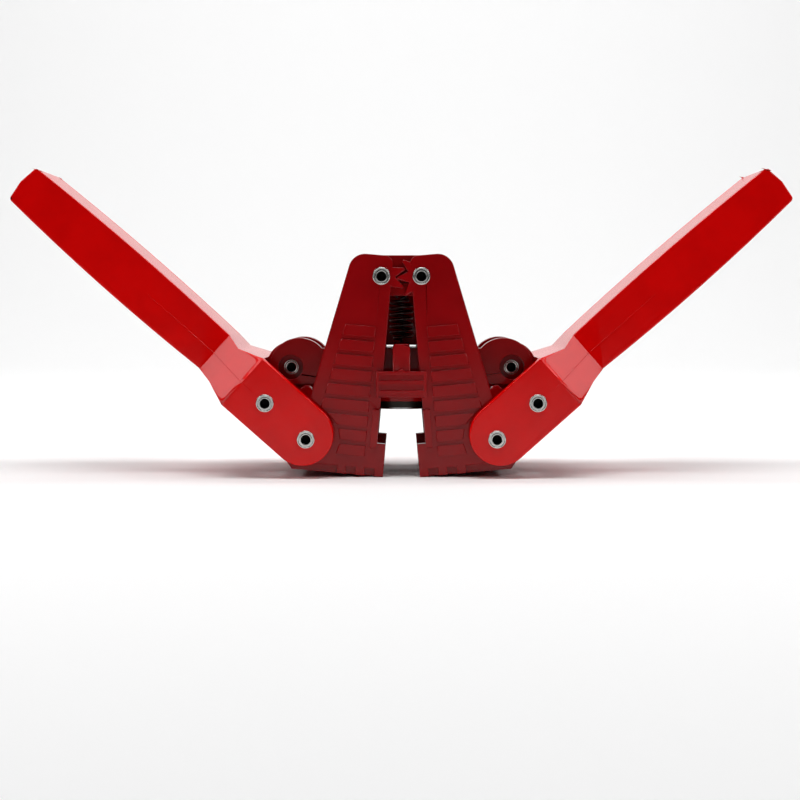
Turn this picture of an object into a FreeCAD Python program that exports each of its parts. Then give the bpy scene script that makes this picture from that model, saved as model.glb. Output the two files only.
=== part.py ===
"""Twin-lever crown capper: two geared jaws, two levers and a crimping bell on a sliding carriage.

X runs along the levers, Y from front to back and Z up. The origin is the middle of the bell's mouth.
Two jaws hang from rivets in a bridge and are geared to each other. Each lever turns on a rivet at its
jaw's lower corner, and a short link from the lever pulls the carriage with the bell down.
"""
import FreeCAD, Part
import math
import os
import re

import Sketcher
from FreeCAD import Placement, Rotation, Vector

DIMENSIONS = (
    # jaws, measured from their top pivots, outwards and downwards
    ("pivot_spacing", 7.2, "centre plane to a jaw's top pivot"),
    ("pivot_height", 48.5, "bell's mouth to the top pivots"),
    ("jaw_tilt", 5.0, "how far each jaw is open at rest, degrees"),
    ("jaw_face", 26.0, "centre plane to the jaws' front face"),
    ("jaw_wall", 3.5, "thickness of a jaw's front and rear plate"),
    ("jaw_top", 7.5, "pivot to the jaw's top edge"),
    ("jaw_shoulder", 10.9, "pivot to the jaw's side at its top edge"),
    ("jaw_lean", 0.206, "how far the jaw's side runs out for each mm down"),
    ("jaw_length", 72.3, "pivot to the jaw's bottom edge"),
    ("jaw_corner_radius", 6.0, "round of the jaw's top corner"),
    ("jaw_inner_radius", 3.0, "round of its inner top corner"),
    ("foot_height", 9.0, "height of the flared foot at the jaw's bottom"),
    ("foot_flare", 2.6, "how far the foot stands out"),
    ("foot_edge", 1.0, "how far its outermost edge stands out beyond that"),
    ("foot_edge_height", 3.2, "jaw's bottom to that edge"),
    ("foot_undercut", 1.6, "how far the foot's bottom lies inside the flare"),
    ("floor_height", 7.2, "thickness of the jaw's floor"),
    ("side_wall_drop", 17.5, "pivot to the lower end of the upper side wall"),
    ("corner_block_height", 16.8, "height of the block round the lever pivot"),
    ("corner_block_width", 15.0, "top pivot to the block's inner face"),
    ("slot_half_width", 3.5, "half of the slot between the closed jaws"),
    ("lip_height", 12.0, "height of the lip below the window"),
    ("lip_reach", 0.4, "lip's inner edge to the centre plane, closed"),
    ("neck_hole_radius", 15.2, "hole in the closed floors"),
    ("jaw_pin_out", 21.8, "top pivot to lever pivot, outwards"),
    ("jaw_pin_down", 60.5, "top pivot to lever pivot, downwards"),
    ("cheek_inner", 3.0, "lever pivot to the cheek's inner side"),
    ("cheek_outer", 5.5, "lever pivot to the cheek's outer side"),
    ("cheek_inner_chamfer", 3.8, "slope of the cheek's inner top corner"),
    ("cheek_outer_chamfer", 2.8, "slope of the cheek's outer top corner"),
    ("cheek_height", 18.6, "lever pivot to the cheek's top"),
    ("cheek_thickness", 5.4, "thickness of the cheek behind the plate"),
    ("rib_pitch", 5.4, "distance between the ribs"),
    ("rib_height", 3.8, "height of one rib"),
    ("rib_relief", 0.6, "how far the ribs stand out"),
    ("rib_first_drop", 18.3, "pivot to the first rib's top edge"),
    ("rib_margin", 4.8, "rib's outer end to the jaw's side"),
    ("rib_start", 0.4, "top pivot to the ribs' inner ends"),
    ("rib_clearance", 1.2, "gap between a rib and the swinging fork"),
    ("rim_width", 2.6, "width of the raised rim beside the window"),
    ("rim_below", 1.6, "how far the rim reaches below the lip's top"),
    ("rim_above", 12.4, "how far the rim reaches above the lip's top"),
    ("tab_width", 3.3, "width of one tab under the floor"),
    ("tab_pitch", 6.8, "distance between the tabs"),
    ("tab_height", 2.8, "height of the recess between the tabs"),
    ("tab_relief", 1.2, "depth of the recess between the tabs"),
    # gear teeth between the pivots
    ("tooth_count", 8, "teeth in a full turn"),
    ("tooth_addendum", 1.5, "tooth tip above the pitch circle"),
    ("tooth_dedendum", 2.0, "tooth root below the pitch circle"),
    ("tooth_backlash", 0.9, "play between the teeth"),
    ("tooth_flank", 20.0, "slope of a flank, degrees"),
    # rivets
    ("rivet_radius", 2.4, "radius of a rivet's shank"),
    ("rivet_bore", 1.7, "radius of its bore"),
    ("rivet_head", 3.2, "radius of its rolled head"),
    ("rivet_proud", 0.55, "height of its rolled head"),
    ("rivet_bore_depth", 8.0, "depth of the bore at each end"),
    ("rivet_lip", 0.6, "width of the ring round the bore"),
    ("rivet_rim", 0.5, "width of the outer ring"),
    ("rivet_groove", 0.35, "depth of the groove between the rings"),
    ("rivet_chamfer", 0.2, "chamfer of the outer ring"),
    ("running_gap", 0.05, "radial gap where a piece turns on a rivet"),
    ("side_gap", 0.5, "gap between pieces that pass each other"),
    ("past", 2.0, "how far a cutting outline runs past the material"),
    # levers, along and across from the lever pivot
    ("lever_tilt", 41.7, "lever above level at rest, degrees"),
    ("lever_reach", 138.5, "lever pivot to the lever's tip"),
    ("link_pin_reach", 19.5, "lever pivot to link pivot"),
    ("fork_above", 11.5, "fork's upper edge above the pivot line"),
    ("fork_below", 10.7, "fork's lower edge below the pivot line"),
    ("fork_root", 30.5, "lever pivot to the fork's root"),
    ("fork_arm", 6.0, "thickness of a fork arm"),
    ("fork_end_reach", 2.0, "lever pivot to the centre of the fork's round end"),
    ("grip_above_root", 8.6, "grip's upper face above the pivot line, at its root"),
    ("grip_above_tip", 7.5, "the same at the tip"),
    ("grip_above_bow", 0.95, "how far the upper face bows out between them"),
    ("grip_below_root", 7.85, "grip's lower face below the pivot line, at its root"),
    ("grip_below_tip", 7.6, "the same at the tip"),
    ("grip_below_bow", 1.25, "how far the lower face bows out between them"),
    ("grip_half_depth", 18.5, "half of the grip's depth"),
    ("grip_lip", 1.2, "width of the lip along the upper face's edges"),
    ("grip_groove", 0.6, "width of the groove beside that lip"),
    ("grip_groove_depth", 0.4, "depth of that groove"),
    ("grip_root", 46.0, "lever pivot to where the grip starts"),
    ("waist_reach", 40.0, "lever pivot to the waist"),
    ("waist_above", 7.6, "waist's upper edge above the pivot line"),
    ("waist_below", 8.4, "waist's lower edge below the pivot line"),
    ("waist_half_depth", 24.0, "half of the waist's depth"),
    ("grip_wall", 3.0, "wall of the hollow grip"),
    ("grip_rib", 2.0, "ribs inside the grip"),
    ("tip_radius", 1.5, "round of the grip's tip"),
    ("tip_bulge", 1.0, "how far the tip's end face bulges out"),
    ("cell_inset", 6.0, "grip's root to the first hollow"),
    # carriage
    ("arm_pin_out", 40.6, "centre plane to the arm pivot"),
    ("arm_pin_height", 15.3, "bell's mouth to the arm pivot"),
    ("arm_end_radius", 10.8, "round of the arm's end"),
    ("arm_end_inset", 3.1, "arm pivot to the centre of that round"),
    ("arm_half_depth", 16.0, "half of the arm's depth"),
    ("arm_underside", 9.1, "bell's mouth to the arm's underside"),
    ("arm_top", 22.3, "bell's mouth to the arm's upper face"),
    ("arm_counterbore", 4.5, "radius of the recess round an arm rivet"),
    ("arm_rivet_head", 2.9, "radius of an arm rivet's rolled head"),
    ("arm_counterbore_depth", 3.5, "depth of that recess"),
    ("tongue_half_width", 3.1, "half of the tongue in the slot"),
    ("tongue_top", 24.0, "bell's mouth to the tongue's top"),
    ("tongue_round", 1.2, "round of the tongue's top corners"),
    ("tongue_foot", 5.4, "bell's mouth to the tongue's foot"),
    ("finger_half_width", 9.1, "half of a finger plate's width"),
    ("finger_top", 14.3, "bell's mouth to a finger plate's top"),
    ("finger_bottom", 4.9, "bell's mouth to a finger plate's foot"),
    ("finger_thickness", 2.0, "thickness of a finger plate"),
    ("finger_rim", 1.2, "width of the rim on its top and sides"),
    ("finger_dish", 0.6, "depth of the face inside the rim"),
    ("finger_bump", 1.4, "radius of the bump in the middle of its top edge"),
    ("finger_ridge", 1.5, "height of one ridge"),
    ("finger_ridge_drop", 3.2, "plate's top to the first ridge"),
    ("finger_ridge_pitch", 3.6, "distance between the ridges"),
    ("socket_wall", 2.0, "wall of the bell's socket"),
    ("socket_depth", 6.1, "how far the socket reaches over the bell"),
    # bell, magnet and screw
    ("bell_radius", 17.8, "outside radius of the bell"),
    ("bell_throat", 14.35, "radius of the crimping throat"),
    ("bell_mouth", 16.4, "radius of the mouth that takes an uncrimped cap"),
    ("bell_mouth_height", 2.0, "height of that mouth"),
    ("bell_flare", 2.0, "height of the cone between mouth and throat"),
    ("bell_ceiling", 2.0, "thickness of the bell's ceiling"),
    ("steel_edge", 0.4, "chamfer of the bell's and the magnet's edges"),
    ("magnet_radius", 6.5, "radius of the ring magnet"),
    ("magnet_height", 4.0, "height of the ring magnet"),
    ("screw_radius", 2.0, "radius of the magnet screw"),
    ("screw_head", 3.8, "radius of its countersunk head"),
    ("screw_length", 11.0, "length of the screw"),
    ("screw_drive", 0.9, "radius of the screw's recess"),
    ("screw_drive_depth", 1.1, "depth of the screw's recess"),
    # link
    ("link_eye", 9.4, "radius of the link's upper eye"),
    ("link_hub", 5.4, "radius of the link's lower hub"),
    ("link_half_depth", 9.5, "half of the link's thickness"),
    ("link_clearance", 3.0, "gap round the link's eye in the arm"),
    ("link_play", 0.95, "radial play of the link's lower hole"),
    # bridge and spring
    ("bridge_half_width", 12.6, "half of the bridge's width"),
    ("bridge_top", 56.1, "bell's mouth to the bridge's top"),
    ("bridge_underside", 41.5, "bell's mouth to the bridge's underside"),
    ("bridge_corner_radius", 4.0, "round of the bridge's upper edges"),
    ("bridge_clearance", 1.6, "bridge to the jaws' side walls"),
    ("spring_radius", 3.9, "mean radius of the coil"),
    ("spring_wire", 0.6, "radius of the spring wire"),
    ("spring_turns", 7.0, "turns of the coil"),
    ("spring_foot", 25.0, "bell's mouth to the coil's lower end"),
    ("spring_head", 40.7, "bell's mouth to the coil's upper end"),
    ("spring_eye", 2.3, "mean radius of the end loops"),
    ("loop_sink", 0.18, "how far the upper loop sinks into its wire"),
    ("spring_pin", 1.2, "radius of the pins that hold the spring"),
    ("spring_pin_reach", 8.0, "half length of the pin moulded into the bridge"),
    ("guard_offset", 15.0, "centre plane to the guard wall behind the spring"),
    ("guard_thickness", 2.0, "thickness of that wall"),
    ("guard_half_width", 8.0, "half of its width"),
    ("guard_foot", 22.8, "bell's mouth to its foot"),
    ("pin_chamfer", 0.3, "chamfer of the pins' ends"),
    ("spring_slot", 1.2, "half width of the slots for the end loops"),
    # neck plates
    ("plate_thickness", 1.8, "thickness of a neck plate"),
    ("plate_height", 2.0, "jaw's bottom to the plate's underside"),
    ("plate_half_depth", 21.0, "half of the plate's depth"),
    ("plate_length", 26.0, "length of a neck plate"),
    ("neck_radius", 13.3, "notch for standard necks"),
    ("wide_neck_radius", 14.3, "notch at the plate's other end"),
    ("wide_neck_depth", 5.0, "depth of that notch"),
    ("plate_setback", 4.5, "lip to the plate's inner edge, so that an uncrimped cap passes the open jaws"),
    ("plate_gap", 0.1, "gap round a plate in its slot"),
)

doc = FreeCAD.newDocument("crown_capper")
sheet = doc.addObject("Spreadsheet::Sheet", "Sizes")
for row, (alias, value, meaning) in enumerate(DIMENSIONS, start=1):
    sheet.set(f"A{row}", alias)
    sheet.set(f"B{row}", str(value))
    sheet.set(f"C{row}", meaning)
    sheet.setAlias(f"B{row}", alias)
doc.recompute()
ALIASES = {alias for alias, value, meaning in DIMENSIONS}
PIECES = []


def bound(text):
    """Turn the size names in a formula into references to the sheet's cells."""
    return re.sub(r"[a-z]\w*", lambda word: ("Sizes." if word.group() in ALIASES else "") + word.group(), str(text))


def number(text):
    """The value of a formula, as a plain number."""
    value = sheet.evalExpression(bound(text))
    return float(getattr(value, "Value", value))


def new_body(label, x="0", y="0", z="0", turn="0"):
    """A body whose own origin lies at x, y, z and that is turned about Y."""
    body = doc.addObject("PartDesign::Body", label)
    body.Label = label
    body.Placement = Placement(Vector(0, 0, 0), Rotation(Vector(0, 1, 0), 0))
    body.Placement = Placement(Vector(number(x), number(y), number(z)), Rotation(Vector(0, 1, 0), number(turn)))
    for path, formula in (("Base.x", x), ("Base.y", y), ("Base.z", z)):
        body.setExpression("Placement." + path, bound(formula))
    if number(turn):
        body.setExpression("Placement.Rotation.Axis.y", "1" if number(turn) > 0 else "-1")
        body.setExpression("Placement.Rotation.Angle", bound(f"abs({turn})"))
    PIECES.append(body)
    return body


def drawing_on(body, name, plane="XZ", offset="0"):
    """A sketch on one of the body's origin planes, moved along the plane's normal."""
    sketch = body.newObject("Sketcher::SketchObject", f"{body.Label}_{name}")
    support = [feature for feature in body.Origin.OriginFeatures if feature.Role == plane + "_Plane"][0]
    sketch.AttachmentSupport = [(support, "")]
    sketch.MapMode = "FlatFace"
    sketch.AttachmentOffset = Placement(Vector(0, 0, number(offset)), Rotation())
    sketch.setExpression("AttachmentOffset.Base.z", bound(offset))
    return sketch


def hold(sketch, kind, geometry, point, formula):
    """Fix one coordinate or radius and bind it to its formula."""
    arguments = (geometry, number(formula)) if point is None else (geometry, point, number(formula))
    index = sketch.addConstraint(Sketcher.Constraint(kind, *arguments))
    sketch.setExpression(f"Constraints[{index}]", bound(formula))


def draw_polygon(sketch, corners):
    """A closed outline of straight sides, each corner given by two formulas."""
    first = sketch.GeometryCount
    places = [Vector(number(x), number(y), 0) for x, y in corners]
    for here, there in zip(places, places[1:] + places[:1]):
        sketch.addGeometry(Part.LineSegment(here, there), False)
    for index, (x, y) in enumerate(corners):
        following = first + (index + 1) % len(corners)
        sketch.addConstraint(Sketcher.Constraint("Coincident", first + index, 2, following, 1))
        hold(sketch, "DistanceX", first + index, 1, x)
        hold(sketch, "DistanceY", first + index, 1, y)


def draw_box(sketch, left, right, bottom, top):
    draw_polygon(sketch, ((left, bottom), (right, bottom), (right, top), (left, top)))


def draw_circle(sketch, x, y, radius):
    index = sketch.addGeometry(Part.Circle(Vector(number(x), number(y), 0), Vector(0, 0, 1), number(radius)), False)
    hold(sketch, "DistanceX", index, 3, x)
    hold(sketch, "DistanceY", index, 3, y)
    hold(sketch, "Radius", index, None, radius)


def grow(body, sketch, depth, kind="Pad"):
    """Add (Pad) or remove (Pocket) the outline, half of the depth on each side of the sketch."""
    before = body.Shape.Volume if kind == "Pocket" else 0
    feature = body.newObject("PartDesign::" + kind, sketch.Label.replace(body.Label, body.Label + "_" + kind.lower()))
    feature.Profile = sketch
    feature.SideType = "Symmetric"
    feature.Length = number(depth)
    feature.setExpression("Length", bound(depth))
    doc.recompute()
    if kind == "Pocket" and body.Shape.Volume > before - 1e-6:
        raise ValueError(f"{sketch.Label} removes nothing")
    return feature


def cut(body, sketch, depth):
    return grow(body, sketch, depth, "Pocket")


def turned(body, name, profile):
    """A solid of revolution about the body's own Z axis, from a profile in its XZ plane."""
    sketch = drawing_on(body, name)
    draw_polygon(sketch, profile)
    feature = body.newObject("PartDesign::Revolution", f"{body.Label}_turned_{name}")
    feature.Profile = sketch
    feature.ReferenceAxis = (sketch, ["V_Axis"])
    feature.Angle = 360
    doc.recompute()
    return feature


def round_edges(body, radius, chosen):
    """Fillet the edges for which chosen(edge) holds."""
    base = body.Tip
    names = [f"Edge{index}" for index, edge in enumerate(base.Shape.Edges, start=1) if chosen(edge)]
    feature = body.newObject("PartDesign::Fillet", f"{body.Label}_round_{base.Name}")
    feature.Base = (base, names)
    feature.Radius = number(radius)
    feature.setExpression("Radius", bound(radius))
    body.Tip = feature
    doc.recompute()


def runs_in_depth(edge, x, z):
    """True for an edge along Y through x, z."""
    first, last = edge.Vertexes[0].Point, edge.Vertexes[-1].Point
    middle = (first + last) / 2
    return math.hypot(middle.x - x, middle.z - z) < 0.05 and abs(first.y - last.y) > 0.5


# Places that follow from the driving sizes. Outwards is positive; a side of -1 is left and 1 is right.
LEVER_PIN_OUT = "(pivot_spacing + jaw_pin_out * cos(jaw_tilt) + jaw_pin_down * sin(jaw_tilt))"
LEVER_PIN_HEIGHT = "(pivot_height + jaw_pin_out * sin(jaw_tilt) - jaw_pin_down * cos(jaw_tilt))"
LINK_PIN_OUT = f"({LEVER_PIN_OUT} + link_pin_reach * cos(lever_tilt))"
LINK_PIN_HEIGHT = f"({LEVER_PIN_HEIGHT} + link_pin_reach * sin(lever_tilt))"
LINK_LENGTH = f"sqrt(({LINK_PIN_OUT} - arm_pin_out)^2 + (arm_pin_height - {LINK_PIN_HEIGHT})^2)"
LINK_LEAN = f"atan(({LINK_PIN_OUT} - arm_pin_out) / (arm_pin_height - {LINK_PIN_HEIGHT}))"
FORK_INSIDE = "(jaw_face + rib_relief + side_gap)"
FORK_FACE = "(jaw_face + rib_relief + side_gap + fork_arm)"
JAW_INSIDE = "(jaw_face - jaw_wall)"
JAW_SIDE = "(jaw_shoulder + jaw_lean * (jaw_top + {drop}))"
SPRING_PIN_UPPER = "(spring_head + 2 * spring_eye - spring_wire - loop_sink - spring_pin - running_gap)"
SPRING_PIN_LOWER = "(spring_foot - 2 * spring_eye + spring_wire + spring_pin + running_gap)"
PIN_TURNS = {"X": Rotation(Vector(0, 1, 0), 90), "Y": Rotation(Vector(1, 0, 0), 90)}
SIDES = ((-1, "left"), (1, "right"))
FACES = ((-1, "front"), (1, "rear"))
RIB_COUNT = 9
GRIP_CELLS = 4
BOW_STEPS = 8


def jaw(side, name):
    """One moulded jaw, drawn closed about its top pivot: two plates, a side wall and a floor."""
    body = new_body(f"jaw_{name}", f"{side} * pivot_spacing", "0", "pivot_height", f"{-side} * jaw_tilt")

    def out(formula):
        return f"{side} * ({formula})"

    plates = "2 * jaw_face"
    foot_top = "jaw_length - foot_height"
    outline = drawing_on(body, "outline")
    draw_polygon(outline, (
        (out("slot_half_width - pivot_spacing"), "jaw_top"),
        (out("jaw_shoulder"), "jaw_top"),
        (out(JAW_SIDE.format(drop=f"({foot_top})")), f"-({foot_top})"),
        (out(JAW_SIDE.format(drop=f"({foot_top})") + " + foot_flare + foot_edge"),
         "-(jaw_length - foot_edge_height)"),
        (out(JAW_SIDE.format(drop=f"({foot_top})") + " + foot_flare - foot_undercut"), "-jaw_length"),
        (out("lip_reach - pivot_spacing"), "-jaw_length"),
        (out("lip_reach - pivot_spacing"), "-(jaw_length - lip_height)"),
        (out("slot_half_width - pivot_spacing"), "-(jaw_length - lip_height)"),
    ))
    grow(body, outline, plates)
    round_edges(body, "jaw_corner_radius", lambda edge: runs_in_depth(
        edge, side * number("jaw_shoulder"), number("jaw_top")))
    round_edges(body, "jaw_inner_radius", lambda edge: runs_in_depth(
        edge, side * number("slot_half_width - pivot_spacing"), number("jaw_top")))

    hub = drawing_on(body, "hub")
    draw_circle(hub, "0", "0", "pivot_spacing - tooth_dedendum")
    grow(body, hub, plates)

    # teeth point to the other jaw; the left jaw has two, the right jaw has one between them
    pitch_angle = 360 / number("tooth_count")
    turns = (-0.5, 0.5) if side < 0 else (-1, 0, 1)
    half_pitch_width = "(pi * pivot_spacing / (2 * tooth_count) - tooth_backlash / 2)"
    tip = f"({half_pitch_width} - tooth_addendum * tan(tooth_flank))"
    root = f"({half_pitch_width} + tooth_dedendum * tan(tooth_flank))"
    for index, turn in enumerate(turns):
        tooth = drawing_on(body, f"tooth_{index}")
        toward = 180 if side > 0 else 0
        spin = Rotation(Vector(0, 0, 1), toward + turn * pitch_angle)
        tooth.AttachmentOffset = Placement(Vector(0, 0, 0), spin)
        draw_polygon(tooth, (
            ("pivot_spacing - tooth_dedendum - 1", f"-{root}"),
            ("pivot_spacing - tooth_dedendum", f"-{root}"),
            ("pivot_spacing + tooth_addendum", f"-{tip}"),
            ("pivot_spacing + tooth_addendum", tip),
            ("pivot_spacing - tooth_dedendum", root),
            ("pivot_spacing - tooth_dedendum - 1", root),
        ))
        grow(body, tooth, plates)

    # horizontal ribs on both faces, shortened beside the end of the fork
    rib_clear = number("fork_below + rib_clearance")
    ribs = drawing_on(body, "ribs")
    for index in range(RIB_COUNT):
        top = f"rib_first_drop + {index} * rib_pitch"
        corners = [(out("rib_start"), f"-({top})"), (out("rib_start"), f"-({top} + rib_height)")]
        for drop in (f"({top} + rib_height)", f"({top})"):
            to_side = JAW_SIDE.format(drop=drop) + " - rib_margin"
            to_fork = f"jaw_pin_out - sqrt((fork_below + rib_clearance)^2 - ({drop} - jaw_pin_down)^2)"
            near_fork = abs(number(f"{drop} - jaw_pin_down")) < rib_clear and number(to_fork) < number(to_side)
            corners.append((out(to_fork if near_fork else to_side), f"-{drop}"))
        draw_polygon(ribs, corners)
    grow(body, ribs, f"{plates} + 2 * rib_relief")

    rim = drawing_on(body, "window_rim")
    draw_box(rim, out("slot_half_width - pivot_spacing"), out("slot_half_width - pivot_spacing + rim_width"),
             "-(jaw_length - lip_height + rim_below)", "-(jaw_length - lip_height - rim_above)")
    grow(body, rim, f"{plates} + 2 * rib_relief")

    # the hollow between the plates: bridge above, carriage arm through the open side, bell below
    hollow = drawing_on(body, "hollow")
    draw_polygon(hollow, (
        (out("-pivot_spacing - past"), "jaw_top + past"),
        (out("bridge_half_width - pivot_spacing + bridge_clearance"), "jaw_top + past"),
        (out(JAW_SIDE.format(drop="0") + " - jaw_wall"), "0"),
        (out(JAW_SIDE.format(drop="side_wall_drop") + " - jaw_wall"), "-side_wall_drop"),
        (out("2 * jaw_pin_out"), "-side_wall_drop"),
        (out("2 * jaw_pin_out"), "-(jaw_length - corner_block_height)"),
        (out("corner_block_width"), "-(jaw_length - corner_block_height)"),
        (out("corner_block_width"), "-(jaw_length - floor_height)"),
        (out("-pivot_spacing - past"), "-(jaw_length - floor_height)"),
    ))
    cut(body, hollow, f"2 * {JAW_INSIDE}")

    # cheeks behind the plates, above the lever pivot
    cheek_foot = "-(jaw_length - corner_block_height + past)"
    cheek_top = "-jaw_pin_down + cheek_height"
    for face, face_name in FACES:
        cheek = drawing_on(body, f"cheek_{face_name}", offset=f"{-face} * ({JAW_INSIDE} - cheek_thickness / 2)")
        draw_polygon(cheek, (
            (out("jaw_pin_out - cheek_inner"), cheek_foot),
            (out("jaw_pin_out + cheek_outer"), cheek_foot),
            (out("jaw_pin_out + cheek_outer"), f"{cheek_top} - cheek_outer_chamfer"),
            (out("jaw_pin_out + cheek_outer - cheek_outer_chamfer"), cheek_top),
            (out("jaw_pin_out - cheek_inner + cheek_inner_chamfer"), cheek_top),
            (out("jaw_pin_out - cheek_inner"), f"{cheek_top} - cheek_inner_chamfer"),
        ))
        grow(body, cheek, "cheek_thickness")

    neck = drawing_on(body, "neck", "XY", "-(jaw_length - floor_height / 2)")
    draw_circle(neck, out("-pivot_spacing"), "0", "neck_hole_radius")
    cut(body, neck, "floor_height + past")

    seat = drawing_on(body, "plate_slot", "XY", "-(jaw_length - plate_height - plate_thickness / 2)")
    draw_box(seat, out("-pivot_spacing"), out("lip_reach - pivot_spacing + plate_setback + plate_length + plate_gap"),
             "-(plate_half_depth + plate_gap)", "plate_half_depth + plate_gap")
    cut(body, seat, "plate_thickness")

    # tabs along the bottom edge of both faces: what lies between them is set back
    first_gap = "lip_reach - pivot_spacing + tab_width"
    gaps = [(f"{first_gap} + {index} * tab_pitch", f"{first_gap} + {index} * tab_pitch + tab_pitch - tab_width")
            for index in range(2)]
    gaps.append((f"{first_gap} + 2 * tab_pitch", "2 * jaw_pin_out"))
    for face, face_name in FACES:
        recess = drawing_on(body, f"tab_gaps_{face_name}", offset=f"{-face} * jaw_face")
        for start, end in gaps:
            draw_box(recess, out(start), out(end), "-jaw_length - past", "-jaw_length + tab_height")
        cut(body, recess, "2 * tab_relief")

    pins = drawing_on(body, "rivet_holes")
    draw_circle(pins, "0", "0", "rivet_radius + running_gap")
    draw_circle(pins, out("jaw_pin_out"), "-jaw_pin_down", "rivet_radius + running_gap")
    cut(body, pins, f"{plates} + past")


def neck_plate(side, name):
    """A reversible steel plate in the jaw's floor, with a notch for the bottle's neck at each end."""
    body = new_body(f"neck_plate_{name}", f"{side} * pivot_spacing", "0", "pivot_height", f"{-side} * jaw_tilt")
    level = "-(jaw_length - plate_height - plate_thickness / 2)"
    blank = drawing_on(body, "blank", "XY", level)
    inner_end = "(lip_reach - pivot_spacing + plate_setback)"
    draw_box(blank, f"{side} * {inner_end}", f"{side} * ({inner_end} + plate_length)",
             "-plate_half_depth", "plate_half_depth")
    grow(body, blank, "plate_thickness - plate_gap")
    notch = drawing_on(body, "notch", "XY", level)
    draw_circle(notch, f"{side} * -pivot_spacing", "0", "neck_radius")
    cut(body, notch, "plate_thickness + past")
    other = drawing_on(body, "other_notch", "XY", level)
    draw_circle(other, f"{side} * ({inner_end} + plate_length - wide_neck_depth + wide_neck_radius)", "0",
                "wide_neck_radius")
    cut(body, other, "plate_thickness + past")


def rivet(label, x, z, half_length, head="rivet_head"):
    """A semi-tubular steel rivet along Y: a bore and a rolled head at each end."""
    body = new_body(label, x, "0", z)
    body.Placement = Placement(body.Placement.Base, PIN_TURNS["Y"])
    steps = (
        ("0", "-rivet_bore_depth"),
        ("rivet_bore", "-rivet_bore_depth"),
        ("rivet_bore", "rivet_proud"),
        ("rivet_bore + rivet_lip", "rivet_proud"),
        ("rivet_bore + rivet_lip", "rivet_proud - rivet_groove"),
        (f"{head} - rivet_rim", "rivet_proud - rivet_groove"),
        (f"{head} - rivet_rim", "rivet_proud"),
        (f"{head} - rivet_chamfer", "rivet_proud"),
        (head, "rivet_proud - rivet_chamfer"),
        (head, "0"),
        ("rivet_radius", "0"),
    )
    lower = [(radius, f"-({half_length} + {height})") for radius, height in steps]
    upper = [(radius, f"{half_length} + {height}") for radius, height in reversed(steps)]
    turned(body, "shank", lower + upper)


def lever(side, name):
    """A moulded lever: a hollow grip that widens into a fork. It is drawn level, about the lever pivot."""
    body = new_body(f"lever_{name}", f"{side} * {LEVER_PIN_OUT}", "0", LEVER_PIN_HEIGHT, f"{-side} * lever_tilt")

    def out(formula):
        return f"{side} * ({formula})"

    def bowed(face, sign, lift="0"):
        """Points from the grip's root to its tip along its upper or lower face."""
        points = []
        for step in range(BOW_STEPS + 1):
            share = step / BOW_STEPS
            straight = f"grip_{face}_root + {share} * (grip_{face}_tip - grip_{face}_root)"
            bow = f"grip_{face}_bow * {4 * share * (1 - share)}"
            reach = out(f"grip_root + {share} * (lever_reach - grip_root)")
            points.append((reach, f"{sign} * ({straight} + {bow} + {lift})"))
        return points

    grip = drawing_on(body, "grip")
    draw_polygon(grip, bowed("below", "-1") + [(out("lever_reach + tip_bulge"), "0")] + bowed("above", "1")[::-1])
    grow(body, grip, "2 * grip_half_depth")
    tips = (number("-grip_below_tip"), number("grip_above_tip"))
    round_edges(body, "tip_radius", lambda edge: any(
        runs_in_depth(edge, side * number("lever_reach"), z) for z in tips))
    for face, face_name in FACES:
        groove = drawing_on(body, f"groove_{face_name}",
                            offset=f"{-face} * (grip_half_depth - grip_lip - grip_groove / 2)")
        draw_polygon(groove, bowed("above", "1", "-grip_groove_depth") + bowed("above", "1", "past")[::-1])
        cut(body, groove, "grip_groove")

    sections = []
    for index, (reach, below, above, half_depth) in enumerate((
            ("grip_root", "grip_below_root", "grip_above_root", "grip_half_depth"),
            ("waist_reach", "waist_below", "waist_above", "waist_half_depth"),
            ("fork_root", "fork_below", "fork_above", FORK_FACE))):
        section = drawing_on(body, f"section_{index}", "YZ", out(reach))
        draw_box(section, f"-{half_depth}", half_depth, f"-({below})", above)
        sections.append(section)
    root = body.newObject("PartDesign::AdditiveLoft", f"{body.Label}_root")
    root.Profile = sections[0]
    root.Sections = sections[1:]
    root.Ruled = True
    doc.recompute()

    fork = drawing_on(body, "fork")
    draw_box(fork, out("fork_end_reach"), out("fork_root"), "-fork_below", "fork_above")
    grow(body, fork, f"2 * {FORK_FACE}")
    end = drawing_on(body, "fork_end")
    draw_circle(end, out("fork_end_reach"), "(fork_above - fork_below) / 2", "(fork_above + fork_below) / 2")
    grow(body, end, f"2 * {FORK_FACE}")

    slot = drawing_on(body, "fork_slot")
    draw_box(slot, out("-2 * fork_below"), out("fork_root"), "-2 * fork_below", "2 * fork_above")
    cut(body, slot, f"2 * {FORK_INSIDE}")

    # the grip is open underneath, with one long rib and cross ribs
    underside = "(grip_below_root + grip_below_bow + past)"
    cells = drawing_on(body, "grip_cells", "XY", f"-{underside}")
    start = "(grip_root + cell_inset)"
    length = "(lever_reach - grip_root - cell_inset - grip_wall)"
    for index in range(GRIP_CELLS):
        low = f"({start} + {length} * {index} / {GRIP_CELLS} + grip_rib)"
        high = f"({start} + {length} * {index + 1} / {GRIP_CELLS})"
        for face, face_name in FACES:
            draw_box(cells, out(low), out(high), f"{face} * grip_rib / 2", f"{face} * (grip_half_depth - grip_wall)")
    cut(body, cells, f"2 * (grip_above_tip - grip_wall + {underside})")

    pins = drawing_on(body, "rivet_holes")
    draw_circle(pins, "0", "0", "rivet_radius")
    draw_circle(pins, out("link_pin_reach"), "0", "rivet_radius")
    cut(body, pins, f"2 * {FORK_FACE} + past")


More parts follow.
